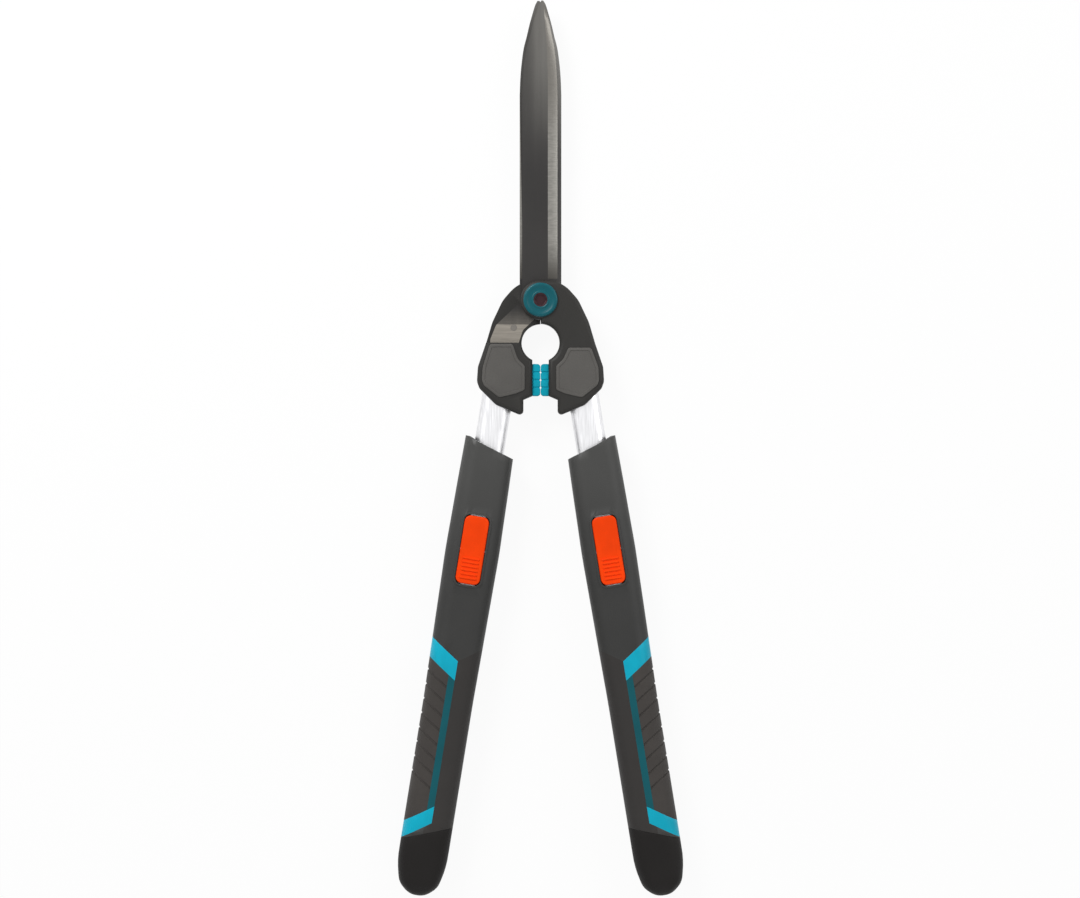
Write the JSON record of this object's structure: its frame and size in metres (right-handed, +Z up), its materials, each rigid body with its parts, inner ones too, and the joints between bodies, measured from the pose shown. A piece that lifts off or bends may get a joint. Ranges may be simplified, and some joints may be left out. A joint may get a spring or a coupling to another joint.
{
  "type": "telescopic hedge shears",
  "caption": "Two-handed garden shears with straight crossing blades on one pivot and handles that telescope, each with a thumb lock.",
  "frame": {"origin": "on the pivot axis, at the flat underside of the pivot nut, on the surface that the shears lie on", "axes": "+Z up along the pivot axis, +Y along the closed blades to their tips, +X to the right handle"},
  "size_m": [0.2232, 0.7006, 0.0333],
  "materials": {
    "coated_steel": "satin",
    "black_steel": "satin",
    "bright_steel": "satin",
    "bush_bronze": "satin",
    "tube_aluminium": "satin",
    "head_plastic": "matte",
    "grip_plastic": "matte",
    "soft_grip": "matte",
    "cap_plastic": "matte",
    "guide_plastic": "matte",
    "teal_plastic": "satin",
    "teal_rubber": "matte",
    "orange_plastic": "satin"
  },
  "bodies": {
    "left_arm": {"rear_blade": "coated_steel", "pivot_bolt": "black_steel", "pivot_bush": "bush_bronze", "pivot_nut": "black_steel", "pivot_front_washer": "bright_steel", "pivot_rear_washer": "bright_steel", "pivot_rear_ring": "teal_plastic", "left_head_front_cover": "head_plastic", "left_head_back_cover": "head_plastic", "left_head_screws": "bright_steel", "left_tube_bolt": "bright_steel", "left_tang_rivets": "bright_steel", "left_buffer": "teal_rubber", "left_inner_tube": "tube_aluminium", "left_tube_plug": "guide_plastic"},
    "right_arm": {"front_blade": "coated_steel", "pivot_front_ring": "teal_plastic", "right_head_front_cover": "head_plastic", "right_head_back_cover": "head_plastic", "right_head_screws": "bright_steel", "right_tube_bolt": "bright_steel", "right_tang_rivets": "bright_steel", "right_buffer": "teal_rubber", "right_inner_tube": "tube_aluminium", "right_tube_plug": "guide_plastic"},
    "left_grip": {"left_grip_front_shell": "grip_plastic", "left_grip_back_shell": "grip_plastic", "left_grip_screws": "bright_steel", "left_guide_collar": "guide_plastic", "left_soft_insert": "soft_grip", "left_insert_accent": "teal_plastic", "left_end_cap": "cap_plastic", "left_end_cap_screw": "bright_steel", "left_lock_pin": "bright_steel", "left_lock_spring": "bright_steel"},
    "right_grip": {"right_grip_front_shell": "grip_plastic", "right_grip_back_shell": "grip_plastic", "right_grip_screws": "bright_steel", "right_guide_collar": "guide_plastic", "right_soft_insert": "soft_grip", "right_insert_accent": "teal_plastic", "right_end_cap": "cap_plastic", "right_end_cap_screw": "bright_steel", "right_lock_pin": "bright_steel", "right_lock_spring": "bright_steel"},
    "left_lock": {"left_lock_button": "orange_plastic", "left_lock_peg": "bright_steel"},
    "right_lock": {"right_lock_button": "orange_plastic", "right_lock_peg": "bright_steel"}
  },
  "joints": [
    {"name": "pivot", "type": "hinge", "parent": "left_arm", "child": "right_arm", "pos_m": [0, 0, 0.016], "axis": [0, 0, 1], "range_deg": [0, 60]},
    {"name": "left_telescope", "type": "slide", "parent": "left_arm", "child": "left_grip", "axis": [-0.1599, -0.9871, 0], "range_m": [0, 0.2]},
    {"name": "left_lock", "type": "hinge", "parent": "left_grip", "child": "left_lock", "pos_m": [-0.05313, -0.19542, 0.0273], "axis": [0.9871, -0.1599, 0], "range_deg": [0, 4], "stiffness_Nm_per_rad": 0.3, "springref_deg": -5.73, "deforming": ["left_lock_spring"]},
    {"name": "right_telescope", "type": "slide", "parent": "right_arm", "child": "right_grip", "axis": [0.1599, -0.9871, 0], "range_m": [0, 0.2]},
    {"name": "right_lock", "type": "hinge", "parent": "right_grip", "child": "right_lock", "pos_m": [0.05313, -0.19542, 0.0273], "axis": [0.9871, 0.1599, 0], "range_deg": [0, 4], "stiffness_Nm_per_rad": 0.3, "springref_deg": -5.73, "deforming": ["right_lock_spring"]}
  ]
}
